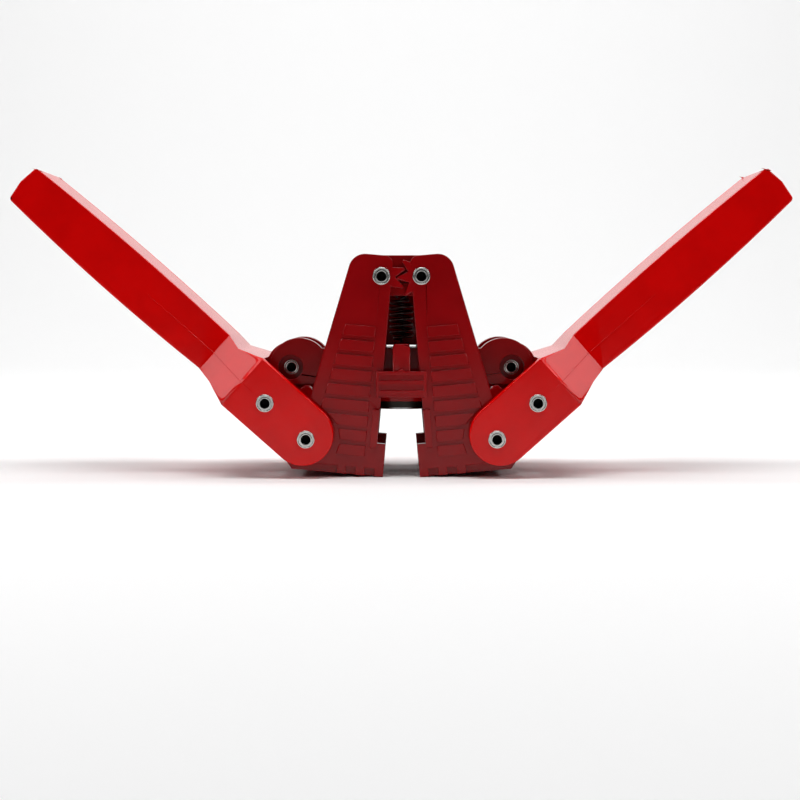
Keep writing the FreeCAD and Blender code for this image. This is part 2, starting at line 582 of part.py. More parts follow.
def link(side, name):
    """A link from the carriage arm down to the lever, drawn hanging from the arm pivot."""
    body = new_body(f"link_{name}", f"{side} * arm_pin_out", "0", "arm_pin_height", f"{-side} * {LINK_LEAN}")
    eye = drawing_on(body, "eye")
    draw_circle(eye, "0", "0", "link_eye")
    grow(body, eye, "2 * link_half_depth")
    web = drawing_on(body, "web")
    draw_polygon(web, (
        ("-link_eye", "0"), ("link_eye", "0"),
        ("link_hub", f"-{LINK_LENGTH}"), ("-link_hub", f"-{LINK_LENGTH}"),
    ))
    grow(body, web, "2 * link_half_depth")
    hub = drawing_on(body, "hub")
    draw_circle(hub, "0", f"-{LINK_LENGTH}", "link_hub")
    grow(body, hub, f"2 * ({FORK_INSIDE} - side_gap)")
    holes = drawing_on(body, "eye_hole")
    draw_circle(holes, "0", "0", "rivet_radius + running_gap")
    draw_circle(holes, "0", f"-{LINK_LENGTH}", "rivet_radius + link_play")
    cut(body, holes, f"2 * {FORK_INSIDE} + past")


def carriage():
    """The sliding carriage: two arms with forked round ends, a tongue in the slot and the bell's socket."""
    body = new_body("carriage")
    middle = "(arm_pin_out - arm_end_inset)"
    arms = drawing_on(body, "arms")
    draw_box(arms, f"-{middle}", middle, "arm_underside", "arm_top")
    grow(body, arms, "2 * arm_half_depth")
    for side, name in SIDES:
        end = drawing_on(body, f"arm_end_{name}")
        draw_circle(end, f"{side} * {middle}", "arm_pin_height", "arm_end_radius")
        grow(body, end, "2 * arm_half_depth")
    flats = drawing_on(body, "flat_underside")
    draw_box(flats, f"-({middle} + arm_end_radius + past)", f"{middle} + arm_end_radius + past",
             "arm_underside - arm_end_radius", "arm_underside")
    cut(body, flats, "2 * arm_half_depth + past")

    tongue = drawing_on(body, "tongue")
    draw_box(tongue, "-tongue_half_width", "tongue_half_width", "tongue_foot", "tongue_top")
    grow(body, tongue, "2 * (jaw_face + rib_relief + side_gap)")
    round_edges(body, "tongue_round", lambda edge: any(
        runs_in_depth(edge, side * number("tongue_half_width"), number("tongue_top")) for side in (-1, 1)))
    lap = drawing_on(body, "guard_lap", offset="-(guard_offset - side_gap + jaw_face / 2)")
    draw_box(lap, "-(tongue_half_width + past)", "tongue_half_width + past",
             "guard_foot - side_gap", "tongue_top + past")
    cut(body, lap, "jaw_face")
    for face, name in FACES:
        finger = drawing_on(body, f"finger_plate_{name}",
                            offset=f"{-face} * (jaw_face + rib_relief + side_gap + finger_thickness / 2)")
        draw_box(finger, "-finger_half_width", "finger_half_width", "finger_bottom", "finger_top")
        grow(body, finger, "finger_thickness")
        bump = drawing_on(body, f"finger_bump_{name}",
                          offset=f"{-face} * (jaw_face + rib_relief + side_gap + finger_thickness / 2)")
        draw_circle(bump, "0", "finger_top - finger_bump / 2", "finger_bump")
        grow(body, bump, "finger_thickness")
        dish = drawing_on(body, f"finger_dish_{name}",
                          offset=f"{-face} * (jaw_face + rib_relief + side_gap + finger_thickness)")
        draw_box(dish, "-finger_half_width + finger_rim", "finger_half_width - finger_rim",
                 "finger_bottom - past", "finger_top - finger_rim")
        cut(body, dish, "2 * finger_dish")
        ridges = drawing_on(
            body, f"finger_ridges_{name}",
            offset=f"{-face} * (jaw_face + rib_relief + side_gap + finger_thickness - finger_dish / 2)")
        for height in ("finger_top - finger_ridge_drop", "finger_top - finger_ridge_drop - finger_ridge_pitch"):
            draw_box(ridges, "-finger_half_width + finger_rim", "finger_half_width - finger_rim",
                     f"{height} - finger_ridge", height)
        grow(body, ridges, "finger_dish")

    socket = drawing_on(body, "socket", "XY", "arm_underside - socket_depth / 2")
    draw_circle(socket, "0", "0", "bell_radius + socket_wall")
    grow(body, socket, "socket_depth")
    for name, radius, low, high in (
            ("bell_seat", "bell_radius", "arm_underside - socket_depth - past", "arm_underside"),
            ("magnet_seat", "magnet_radius", "arm_underside - past", "arm_underside - bell_ceiling + magnet_height"),
            ("screw_hole", "screw_radius", "arm_underside - past", "arm_underside - bell_ceiling + screw_length")):
        seat = drawing_on(body, name, "XY", f"({low} + {high}) / 2")
        draw_circle(seat, "0", "0", radius)
        cut(body, seat, f"{high} - ({low})")

    for side, name in SIDES:
        gap = drawing_on(body, f"link_gap_{name}")
        draw_box(gap, f"{side} * (arm_pin_out - link_eye - link_clearance)",
                 f"{side} * (arm_pin_out + arm_end_radius)",
                 "arm_underside - past", "arm_pin_height + arm_end_radius + past")
        cut(body, gap, "2 * (link_half_depth + side_gap)")
        hole = drawing_on(body, f"rivet_hole_{name}")
        draw_circle(hole, f"{side} * arm_pin_out", "arm_pin_height", "rivet_radius")
        cut(body, hole, "2 * arm_half_depth + past")
        for face, face_name in FACES:
            recess = drawing_on(body, f"recess_{name}_{face_name}", offset=f"{-face} * arm_half_depth")
            draw_circle(recess, f"{side} * arm_pin_out", "arm_pin_height", "arm_counterbore")
            cut(body, recess, "2 * arm_counterbore_depth")

    spring_slot = drawing_on(body, "spring_slot", "YZ")
    draw_box(spring_slot, "-(spring_eye + spring_wire + side_gap)", "spring_eye + spring_wire + side_gap",
             "spring_foot - 2 * spring_eye - spring_wire - side_gap", "tongue_top + past")
    cut(body, spring_slot, "2 * spring_slot")
    pin_hole = drawing_on(body, "spring_pin_hole", "YZ")
    draw_circle(pin_hole, "0", SPRING_PIN_LOWER, "spring_pin")
    cut(body, pin_hole, "2 * tongue_half_width + past")


def bell():
    """A pressed steel bell: flared mouth, crimping throat and flat ceiling with a hole for the magnet."""
    body = new_body("crimping_bell")
    turned(body, "wall", (
        ("magnet_radius", "arm_underside - bell_ceiling"),
        ("bell_throat - steel_edge", "arm_underside - bell_ceiling"),
        ("bell_throat", "arm_underside - bell_ceiling - steel_edge"),
        ("bell_throat", "bell_mouth_height + bell_flare"),
        ("bell_mouth", "bell_mouth_height"),
        ("bell_mouth", "0"),
        ("bell_radius - steel_edge", "0"),
        ("bell_radius", "steel_edge"),
        ("bell_radius", "arm_underside"),
        ("magnet_radius", "arm_underside"),
    ))


def magnet_and_screw():
    """A ring magnet in the bell's ceiling, held by a countersunk screw."""
    low = "(arm_underside - bell_ceiling)"
    magnet = new_body("bell_magnet")
    turned(magnet, "ring", (
        ("screw_head", low), ("magnet_radius - steel_edge", low), ("magnet_radius", f"{low} + steel_edge"),
        ("magnet_radius", f"{low} + magnet_height"), ("screw_radius", f"{low} + magnet_height"),
        ("screw_radius", f"{low} + screw_head - screw_radius"),
    ))
    screw = new_body("magnet_screw")
    turned(screw, "shank", (
        ("0", f"{low} + screw_drive_depth"), ("screw_drive", f"{low} + screw_drive_depth"),
        ("screw_drive", low), ("screw_head", low),
        ("screw_radius", f"{low} + screw_head - screw_radius"), ("screw_radius", f"{low} + screw_length"),
        ("0", f"{low} + screw_length"),
    ))


def bridge():
    """The block between the jaws' plates: it carries both top rivets and the spring, with a guard wall behind it."""
    body = new_body("bridge")
    block = drawing_on(body, "block")
    draw_box(block, "-bridge_half_width", "bridge_half_width", "bridge_underside", "bridge_top")
    grow(body, block, f"2 * ({JAW_INSIDE} - side_gap / 2)")
    round_edges(body, "bridge_corner_radius", lambda edge: any(
        runs_in_depth(edge, side * number("bridge_half_width"), number("bridge_top")) for side in (-1, 1)))
    holes = drawing_on(body, "rivet_holes")
    for side, name in SIDES:
        draw_circle(holes, f"{side} * pivot_spacing", "pivot_height", "rivet_radius")
    cut(body, holes, "2 * jaw_face")
    pin_hole = drawing_on(body, "spring_pin_hole")
    draw_circle(pin_hole, "0", SPRING_PIN_UPPER, "spring_pin")
    cut(body, pin_hole, "2 * spring_pin_reach")
    slot = drawing_on(body, "spring_slot")
    draw_box(slot, "-(spring_eye + spring_wire + side_gap)", "spring_eye + spring_wire + side_gap",
             "bridge_underside - past", "spring_head + 2 * spring_eye + spring_wire + side_gap")
    cut(body, slot, "2 * spring_slot")
    guard = drawing_on(body, "spring_guard", offset="-(guard_offset + guard_thickness / 2)")
    draw_polygon(guard, (
        ("-guard_half_width", "bridge_underside + past"),
        ("guard_half_width", "bridge_underside + past"),
        ("guard_half_width", "guard_foot"),
        ("-guard_half_width", "guard_foot"),
    ))
    grow(body, guard, "guard_thickness")


def pin(label, x, z, half_length, along):
    """A plain steel pin with chamfered ends, along X or Y."""
    body = new_body(label, x, "0", z)
    body.Placement = Placement(body.Placement.Base, PIN_TURNS[along])
    turned(body, "round", (
        ("0", f"-({half_length})"), ("spring_pin - pin_chamfer", f"-({half_length})"),
        ("spring_pin", f"-({half_length}) + pin_chamfer"), ("spring_pin", f"({half_length}) - pin_chamfer"),
        ("spring_pin - pin_chamfer", f"({half_length})"), ("0", f"({half_length})"),
    ))


def primitive(kind, label, sizes, height, turn):
    """A Part primitive on the spring's axis, its sizes and height bound to the sheet."""
    solid = doc.addObject("Part::" + kind, label)
    for name, formula in sizes:
        solid.setExpression(name, bound(formula))
    solid.Placement = Placement(Vector(0, 0, number(height)), turn)
    solid.setExpression("Placement.Base.z", bound(height))
    return solid


def spring():
    """The return spring: a coil whose wire crosses to the middle at each end and closes in a loop."""
    path = doc.addObject("Part::Helix", "spring_path")
    path.setExpression("Radius", bound("spring_radius"))
    path.setExpression("Pitch", bound("(spring_head - spring_foot) / spring_turns"))
    path.setExpression("Height", bound("spring_head - spring_foot"))
    path.setExpression("Placement.Base.z", bound("spring_foot"))
    section = doc.addObject("Part::Circle", "spring_section")
    section.setExpression("Radius", bound("spring_wire"))
    section.Placement = Placement(Vector(number("spring_radius"), 0, 0), Rotation(Vector(1, 0, 0), 90))
    section.setExpression("Placement.Base.x", bound("spring_radius"))
    section.setExpression("Placement.Base.z", bound("spring_foot"))
    coil = doc.addObject("Part::Sweep", "spring_coil")
    coil.Sections = [section]
    coil.Spine = path
    coil.Solid = True
    coil.Frenet = True
    pieces = [coil]
    for end, height, loop, turn in (
            ("lower", "spring_foot", "spring_foot - spring_eye", Rotation(Vector(0, 1, 0), 90)),
            ("upper", "spring_head", "spring_head + spring_eye - loop_sink", Rotation(Vector(1, 0, 0), 90))):
        crossing = (("Radius", "spring_wire"), ("Height", "spring_radius"))
        ring = (("Radius1", "spring_eye"), ("Radius2", "spring_wire"))
        pieces.append(primitive("Cylinder", f"spring_{end}_crossing", crossing, height, Rotation(Vector(0, 1, 0), 90)))
        pieces.append(primitive("Torus", f"spring_{end}_loop", ring, loop, turn))
    whole = doc.addObject("Part::MultiFuse", "return_spring")
    whole.Label = "return_spring"
    whole.Shapes = pieces
    PIECES.append(whole)


for side, name in SIDES:
    jaw(side, name)
    neck_plate(side, name)
    lever(side, name)
    link(side, name)
    rivet(f"jaw_rivet_{name}", f"{side} * pivot_spacing", "pivot_height", "(jaw_face + running_gap)")
    rivet(f"lever_rivet_{name}", f"{side} * {LEVER_PIN_OUT}", LEVER_PIN_HEIGHT, FORK_FACE)
    rivet(f"link_rivet_{name}", f"{side} * {LINK_PIN_OUT}", LINK_PIN_HEIGHT, FORK_FACE)
    rivet(f"arm_rivet_{name}", f"{side} * arm_pin_out", "arm_pin_height",
          "(arm_half_depth - arm_counterbore_depth)", "arm_rivet_head")
carriage()
bell()
magnet_and_screw()
bridge()
spring()
pin("spring_pin_upper", "0", SPRING_PIN_UPPER, "spring_pin_reach", "Y")
pin("spring_pin_lower", "0", SPRING_PIN_LOWER, "tongue_half_width", "X")

doc.recompute()
failed = [entry.Label for entry in doc.Objects if "Invalid" in entry.State or "Error" in entry.State]
if failed:
    raise ValueError("failed: " + ", ".join(failed))
os.makedirs("parts", exist_ok=True)
for piece in PIECES:
    shape = piece.Shape
    if shape.isNull() or not shape.isValid():
        raise ValueError(f"{piece.Label} has no valid shape")
    shape.exportStep(f"parts/{piece.Label}.step")
    print(piece.Label, round(shape.Volume, 1), len(shape.Solids))
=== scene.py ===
"""A twin-lever crown capper in moulded nylon and plated steel, standing open on a pale table."""
import math

import bmesh
import bpy
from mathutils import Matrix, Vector
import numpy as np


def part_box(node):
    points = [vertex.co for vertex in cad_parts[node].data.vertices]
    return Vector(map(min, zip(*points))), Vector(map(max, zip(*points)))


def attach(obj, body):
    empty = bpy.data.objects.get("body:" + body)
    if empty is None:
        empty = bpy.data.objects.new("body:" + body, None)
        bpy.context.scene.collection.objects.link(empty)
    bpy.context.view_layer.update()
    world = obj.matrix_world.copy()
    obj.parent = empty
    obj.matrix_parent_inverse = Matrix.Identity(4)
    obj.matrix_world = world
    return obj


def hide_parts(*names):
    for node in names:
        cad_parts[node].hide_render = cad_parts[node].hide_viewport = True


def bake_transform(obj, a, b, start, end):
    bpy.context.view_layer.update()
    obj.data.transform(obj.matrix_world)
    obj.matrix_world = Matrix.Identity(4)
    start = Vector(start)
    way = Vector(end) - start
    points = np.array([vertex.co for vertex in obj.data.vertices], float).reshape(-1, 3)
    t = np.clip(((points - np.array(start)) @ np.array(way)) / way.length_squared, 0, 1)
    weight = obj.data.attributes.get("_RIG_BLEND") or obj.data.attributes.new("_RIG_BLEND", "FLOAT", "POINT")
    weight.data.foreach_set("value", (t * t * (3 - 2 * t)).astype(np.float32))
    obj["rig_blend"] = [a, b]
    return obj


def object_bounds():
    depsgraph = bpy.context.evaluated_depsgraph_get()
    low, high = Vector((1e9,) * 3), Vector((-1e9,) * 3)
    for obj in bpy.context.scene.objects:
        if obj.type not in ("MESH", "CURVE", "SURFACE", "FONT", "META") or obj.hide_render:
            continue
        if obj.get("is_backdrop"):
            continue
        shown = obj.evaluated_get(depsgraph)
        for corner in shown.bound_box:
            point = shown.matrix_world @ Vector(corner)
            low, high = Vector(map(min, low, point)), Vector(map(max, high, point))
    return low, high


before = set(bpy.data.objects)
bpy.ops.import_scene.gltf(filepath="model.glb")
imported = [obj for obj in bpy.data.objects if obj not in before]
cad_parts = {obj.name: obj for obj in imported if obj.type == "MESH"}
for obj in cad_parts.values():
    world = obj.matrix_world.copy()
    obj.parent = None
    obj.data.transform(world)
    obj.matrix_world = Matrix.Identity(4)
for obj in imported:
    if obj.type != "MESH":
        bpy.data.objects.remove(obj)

scene = bpy.context.scene
cad_low, cad_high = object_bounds()
SIDES = ((-1, "left"), (1, "right"))
MM = 0.001

# ---- Jaws -------------------------------------------------------------------------------------
# Two jaws of glass-filled nylon, each moulded in one piece with its grip ribs, gear teeth and the
# hollow for the carriage. The front and back rims are slightly round and the faces satin.
JAW_RED = "#980006"
JAW_RED_DEEP = "#8E0005"
JAW_EDGE = 0.26 * MM
DEEP_WALL = 2.5 * MM
SMALL_EDGE = 0.26 * MM
BORE_REACH = 5.6 * MM
MIDDLE_REACH = 6.5 * MM
MERGE_WITHIN, SHORTEST = 2e-6, 1e-7
BEVEL_STEPS = 3
CORNER_FROM = math.radians(32)
FLAT_BELOW = math.radians(0.2)
FACING_FROM = 0.98
FLOW_MM, GRAIN_MM = 14, 0.6
FLOW_RAMP, CLOUD_RAMP = (0.35, 0.62), (0.3, 0.7)
GRAIN_RELIEF = 0.04
RESIN_SKIN = {"IOR": 1.53, "Specular IOR Level": 0.06, "Coat Weight": 0.42, "Coat Roughness": 0.1}


def linear(hex_colour):
    """An sRGB hex colour as the linear RGBA that a shader takes."""
    channels = [int(hex_colour[place:place + 2], 16) / 255 for place in (1, 3, 5)]
    return [c / 12.92 if c <= 0.04045 else ((c + 0.055) / 1.055) ** 2.4 for c in channels] + [1.0]


def per_metre(size_mm):
    """The texture scale that gives marks of this size."""
    return 1000 / size_mm


def add(tree, kind, settings=None, links=None):
    """Add one node with its input values, and link sockets into it."""
    node = tree.nodes.new(kind)
    for name, value in (settings or {}).items():
        node.inputs[name].default_value = value
    for name, socket in (links or {}).items():
        tree.links.new(socket, node.inputs[name])
    return node


def moulded_nylon(name, colour, deep_colour, smooth, rough):
    """Glass-filled nylon: faint flow marks, a fine even grain, and a smooth skin of bare resin.

    The real grain is about 0.1 mm, too fine to show, so it is drawn at GRAIN_MM.
    """
    material = bpy.data.materials.new(name)
    material.use_nodes = True
    tree = material.node_tree
    tree.nodes.clear()
    place = add(tree, "ShaderNodeTexCoord")
    flow = add(tree, "ShaderNodeTexNoise",
               {"Scale": per_metre(FLOW_MM), "Detail": 3.0, "Roughness": 0.55},
               {"Vector": place.outputs["Object"]})
    colours = add(tree, "ShaderNodeValToRGB", links={"Fac": flow.outputs["Fac"]})
    colours.color_ramp.elements[0].position = FLOW_RAMP[0]
    colours.color_ramp.elements[0].color = linear(deep_colour)
    colours.color_ramp.elements[1].position = FLOW_RAMP[1]
    colours.color_ramp.elements[1].color = linear(colour)
    grain = add(tree, "ShaderNodeTexNoise",
                {"Scale": per_metre(GRAIN_MM), "Detail": 2.0, "Roughness": 0.6},
                {"Vector": place.outputs["Object"]})
    gloss = add(tree, "ShaderNodeMapRange",
                {"From Min": 0.3, "From Max": 0.7, "To Min": smooth, "To Max": rough},
                {"Value": flow.outputs["Fac"]})
    relief = add(tree, "ShaderNodeBump", {"Strength": GRAIN_RELIEF, "Distance": 0.04 * MM},
                 {"Height": grain.outputs["Fac"]})
    shader = add(tree, "ShaderNodeBsdfPrincipled", RESIN_SKIN,
                 {"Base Color": colours.outputs["Color"], "Roughness": gloss.outputs["Result"],
                  "Normal": relief.outputs["Normal"]})
    add(tree, "ShaderNodeOutputMaterial", links={"Surface": shader.outputs["BSDF"]})
    return material


def rounded_copy(node, body, material, edge, moulded=True, weighted=True):
    """A copy of a CAD piece with its rims rounded by edge, which stands for the CAD node.

    A moulding's rim is where its front or back meets a wall deeper than DEEP_WALL, away from the rivets'
    bores and from the teeth and tongue in the middle. The small features get SMALL_EDGE, and corners that
    run front to back stay sharp. On a part that isn't moulded, every outer corner gets the whole radius.
    With weighted, shading follows each corner's largest faces. Without it, only the rounded strips are
    shaded anew, to meet the flats beside them.
    """
    rivet_axes = [sum(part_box(other), Vector()) / 2 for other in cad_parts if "rivet" in other]
    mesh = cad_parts[node].data.copy()
    for attribute in [entry for entry in mesh.attributes if entry.name == "custom_normal"]:
        mesh.attributes.remove(attribute)
    mesh.materials.clear()
    mesh.materials.append(material)
    shape = bmesh.new()
    shape.from_mesh(mesh)
    bmesh.ops.remove_doubles(shape, verts=shape.verts, dist=MERGE_WITHIN)
    in_flats = [side for side in shape.edges
                if side.is_manifold and side.calc_face_angle(1) < FLAT_BELOW]
    bmesh.ops.beautify_fill(shape, faces=shape.faces, edges=in_flats, method="ANGLE")
    for face in shape.faces:
        face.smooth = True
    outer = shape.edges.layers.float.new("bevel_weight_edge")
    for side in shape.edges:
        if side.is_manifold and side.calc_face_angle(0) > CORNER_FROM:
            facing = [abs(face.normal.y) > FACING_FROM for face in side.link_faces]
            depths = [2 * face.calc_area() / max(side.calc_length(), SHORTEST)
                      for face, flat in zip(side.link_faces, facing) if not flat]
            middle = (side.verts[0].co + side.verts[1].co) / 2
            by_bore = any(math.hypot(middle.x - axis.x, middle.z - axis.z) < BORE_REACH
                          for axis in rivet_axes)
            by_small_feature = by_bore or abs(middle.x) < MIDDLE_REACH
            is_rim = sum(facing) == 1 and depths[0] > DEEP_WALL and not by_small_feature
            small_share = min(1.0, SMALL_EDGE / edge) if sum(facing) == 1 else 0.0
            share = 1.0 if is_rim or not moulded else small_share
            side[outer] = share if side.is_convex else 0.0
            side.smooth = side[outer] > 0
    shape.to_mesh(mesh)
    shape.free()
    piece = bpy.data.objects.new(node + "_piece", mesh)
    scene.collection.objects.link(piece)
    corners = piece.modifiers.new("rounded_corners", "BEVEL")
    corners.width = edge
    corners.segments = BEVEL_STEPS
    corners.limit_method = "WEIGHT"
    corners.use_clamp_overlap = False
    corners.face_strength_mode = "FSTR_ALL"
    if weighted:
        even = piece.modifiers.new("even_shading", "WEIGHTED_NORMAL")
        even.use_face_influence = True
        even.keep_sharp = True
    else:
        corners.harden_normals = True
    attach(piece, body)
    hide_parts(node)
    return piece


jaw_nylon = moulded_nylon("glass_filled_nylon_satin", JAW_RED, JAW_RED_DEEP, 0.30, 0.34)
for side, name in SIDES:
    rounded_copy(f"jaw_{name}", f"{name}_jaw", jaw_nylon, JAW_EDGE)

# ---- Neck plates ------------------------------------------------------------------------------
# Steel blanks pressed from 1.8 mm strip and zinc plated, one in each jaw's floor. Zinc gives a soft
# grey with a faint cloudy spangle, and the press leaves the edges barely broken.
ZINC = "#B9BDC0"
ZINC_CLOUD = "#9DA2A6"
PLATE_EDGE = 0.12 * MM


def plated(name, bright, cloud, smooth, rough, cloud_mm):
    """Plated steel: a metal whose brightness and gloss cloud over slightly from place to place."""
    material = bpy.data.materials.new(name)
    material.use_nodes = True
    tree = material.node_tree
    tree.nodes.clear()
    place = add(tree, "ShaderNodeTexCoord")
    clouds = add(tree, "ShaderNodeTexNoise",
                 {"Scale": per_metre(cloud_mm), "Detail": 4.0, "Roughness": 0.6},
                 {"Vector": place.outputs["Object"]})
    colours = add(tree, "ShaderNodeValToRGB", links={"Fac": clouds.outputs["Fac"]})
    colours.color_ramp.elements[0].position = CLOUD_RAMP[0]
    colours.color_ramp.elements[0].color = linear(cloud)
    colours.color_ramp.elements[1].position = CLOUD_RAMP[1]
    colours.color_ramp.elements[1].color = linear(bright)
    gloss = add(tree, "ShaderNodeMapRange",
                {"From Min": 0.3, "From Max": 0.7, "To Min": smooth, "To Max": rough},
                {"Value": clouds.outputs["Fac"]})
    shader = add(tree, "ShaderNodeBsdfPrincipled", {"Metallic": 1.0},
                 {"Base Color": colours.outputs["Color"], "Roughness": gloss.outputs["Result"]})
    add(tree, "ShaderNodeOutputMaterial", links={"Surface": shader.outputs["BSDF"]})
    return material


zinc = plated("zinc_plated_strip", ZINC, ZINC_CLOUD, 0.32, 0.5, 3.0)
for side, name in SIDES:
    rounded_copy(f"neck_plate_{name}", f"{name}_jaw", zinc, PLATE_EDGE, moulded=False)

# ---- Levers -----------------------------------------------------------------------------------
# Two long levers of the same nylon from a polished mould, so they are glossier than the jaws; their red is
# drawn brighter than the jaws' red. The mould's parts meet along the middle of each flank and leave a
# hair-thin witness line.
LEVER_RED = "#E00000"
LEVER_RED_DEEP = "#D60000"
LEVER_EDGE = 0.6 * MM
LEVER_PIVOT = Vector((34.19, 0, -9.87)) * MM
LEVER_TILT = math.radians(41.7)
LINE_WIDTH, LINE_SIDES = 0.22 * MM, 6
# along the lever from its pivot, and out from its middle plane, in mm
WITNESS_ROUTE = ((78.0, 18.5), (46.0, 18.5), (40.0, 24.0), (30.5, 33.1), (25.5, 33.1))


def place_on_lever(side, along, across, depth):
    """A point given in the lever's own directions, in metres, put where the lever is at rest."""
    x = LEVER_PIVOT.x + along * math.cos(LEVER_TILT) - across * math.sin(LEVER_TILT)
    z = LEVER_PIVOT.z + along * math.sin(LEVER_TILT) + across * math.cos(LEVER_TILT)
    return Vector((side * x, depth, z))


def new_tree(name, numbers):
    """A geometry tree with named inputs, its input and output nodes ready."""
    tree = bpy.data.node_groups.new(name, "GeometryNodeTree")
    tree.interface.new_socket("Geometry", in_out="INPUT", socket_type="NodeSocketGeometry")
    tree.interface.new_socket("Geometry", in_out="OUTPUT", socket_type="NodeSocketGeometry")
    for label, kind in numbers:
        tree.interface.new_socket(label, in_out="INPUT", socket_type=kind)
    return tree, add(tree, "NodeGroupInput"), add(tree, "NodeGroupOutput")


def grown(name, points, edges, tree, values):
    """Run a geometry tree on a few points and edges, and keep the result as a plain mesh."""
    seed = bpy.data.meshes.new(name + "_seed")
    seed.from_pydata(points, edges, [])
    maker = bpy.data.objects.new(name + "_maker", seed)
    scene.collection.objects.link(maker)
    modifier = maker.modifiers.new("grow", "NODES")
    modifier.node_group = tree
    sockets = {item.name: item.identifier for item in tree.interface.items_tree
               if item.in_out == "INPUT"}
    for label, value in values.items():
        modifier[sockets[label]] = value
    result = bpy.data.meshes.new_from_object(
        maker.evaluated_get(bpy.context.evaluated_depsgraph_get()))
    result.name = name
    bpy.data.objects.remove(maker)
    piece = bpy.data.objects.new(name, result)
    scene.collection.objects.link(piece)
    return piece


# a round wire that follows a path of points
wire_tree, wire_in, wire_out = new_tree("round_wire", (
    ("Wire radius", "NodeSocketFloat"), ("Sides", "NodeSocketInt"), ("Finish", "NodeSocketMaterial")))
wire_path = add(wire_tree, "GeometryNodeMeshToCurve", links={"Mesh": wire_in.outputs["Geometry"]})
wire_section = add(wire_tree, "GeometryNodeCurvePrimitiveCircle", links={
    "Resolution": wire_in.outputs["Sides"], "Radius": wire_in.outputs["Wire radius"]})
wire_body = add(wire_tree, "GeometryNodeCurveToMesh", {"Fill Caps": True}, {
    "Curve": wire_path.outputs["Curve"], "Profile Curve": wire_section.outputs["Curve"]})
wire_smooth = add(wire_tree, "GeometryNodeSetShadeSmooth", links={"Geometry": wire_body.outputs["Mesh"]})
wire_whole = add(wire_tree, "GeometryNodeRealizeInstances", links={
    "Geometry": wire_smooth.outputs["Geometry"]})
wire_finish = add(wire_tree, "GeometryNodeSetMaterial", links={
    "Geometry": wire_whole.outputs["Geometry"], "Material": wire_in.outputs["Finish"]})
wire_tree.links.new(wire_finish.outputs["Geometry"], wire_out.inputs["Geometry"])

lever_nylon = moulded_nylon("glass_filled_nylon_polished", LEVER_RED, LEVER_RED_DEEP, 0.24, 0.27)
for side, name in SIDES:
    rounded_copy(f"lever_{name}", f"{name}_lever", lever_nylon, LEVER_EDGE)
    route, joins = [], []
    for face in (-1, 1):
        first = len(route)
        route += [place_on_lever(side, along * MM, 0, face * depth * MM)
                  for along, depth in WITNESS_ROUTE]
        joins += [(index, index + 1) for index in range(first, len(route) - 1)]
    line = grown(f"witness_line_{name}", route, joins, wire_tree, {
        "Wire radius": LINE_WIDTH / 2, "Sides": LINE_SIDES, "Finish": lever_nylon})
    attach(line, f"{name}_lever")

# ---- Links ------------------------------------------------------------------------------------
# A short link of jaw nylon hangs from each end of the carriage and pushes it down when a lever falls.
# Its round eye and hub are moulded solid, with softly rounded rims.
LINK_EDGE = 0.4 * MM
for side, name in SIDES:
    rounded_copy(f"link_{name}", f"{name}_link", jaw_nylon, LINK_EDGE)

# ---- Bridge and carriage ----------------------------------------------------------------------
# The bridge holds both jaws at the top, and the carriage slides in the slot below it with the bell.
# Both are moulded in the jaws' nylon, with crisper corners than the levers.
BRIDGE_EDGE, CARRIAGE_EDGE = 0.3 * MM, 0.25 * MM
rounded_copy("bridge", "frame", jaw_nylon, BRIDGE_EDGE)
rounded_copy("carriage", "slide", jaw_nylon, CARRIAGE_EDGE, weighted=False)

# ---- Rivets -----------------------------------------------------------------------------------
# Semi-tubular steel rivets, nickel plated. Each end is rolled over into a bright outer ring, with a
# groove and a thin lip round the bore, whose walls are painted dark as shade.
NICKEL = "#D6D6D2"
NICKEL_CLOUD = "#BDBDBA"
# the two dark steel colours of the bores are painted shade for the deep holes
BORE_PAINTED_SHADE = "#35322F"
BORE_PAINTED_SHADE_DEEP = "#1C1A18"
RIVET_BORE, RIVET_SHANK, RIVET_PROUD, BORE_DEPTH = 1.7, 2.35, 0.55, 8.0
LIP_HALF, LIP_FOOT, LIP_HEIGHT, LIP_STEPS = 0.28, 0.3, 0.2, 4
RING_HALF, RING_DROP, RING_STEPS = 0.3, 0.32, 6
GROOVE_DEPTH, BORE_MARGIN = 0.4, 0.02
STEPS_ROUND = 64
AXIS_RADIUS, AXIS_MERGE, SAME_PLACE = 1e-6, 3e-6, 1e-6
SMOOTH_BELOW = math.radians(40)

# a turned part: the section's outline swept round its own axis, then turned and put in two places
turned_tree, turned_in, turned_out = new_tree("turned_part", (
    ("Steps round", "NodeSocketInt"), ("Turn", "NodeSocketVector"), ("First place", "NodeSocketVector"),
    ("Second place", "NodeSocketVector"), ("Finish", "NodeSocketMaterial")))
turned_section = add(turned_tree, "GeometryNodeMeshToCurve", links={"Mesh": turned_in.outputs["Geometry"]})
turned_path = add(turned_tree, "GeometryNodeCurvePrimitiveCircle", {"Radius": AXIS_RADIUS}, {
    "Resolution": turned_in.outputs["Steps round"]})
turned_body = add(turned_tree, "GeometryNodeCurveToMesh", links={
    "Curve": turned_path.outputs["Curve"], "Profile Curve": turned_section.outputs["Curve"]})
turned_whole = add(turned_tree, "GeometryNodeMergeByDistance", {"Distance": AXIS_MERGE}, {
    "Geometry": turned_body.outputs["Mesh"]})
turned_pair = add(turned_tree, "GeometryNodeJoinGeometry")
for label in ("First place", "Second place"):
    moved = add(turned_tree, "GeometryNodeTransform", links={
        "Geometry": turned_whole.outputs["Geometry"], "Rotation": turned_in.outputs["Turn"],
        "Translation": turned_in.outputs[label]})
    turned_tree.links.new(moved.outputs["Geometry"], turned_pair.inputs["Geometry"])
turned_single = add(turned_tree, "GeometryNodeMergeByDistance", {"Distance": SAME_PLACE}, {
    "Geometry": turned_pair.outputs["Geometry"]})
turned_real = add(turned_tree, "GeometryNodeRealizeInstances", links={
    "Geometry": turned_single.outputs["Geometry"]})
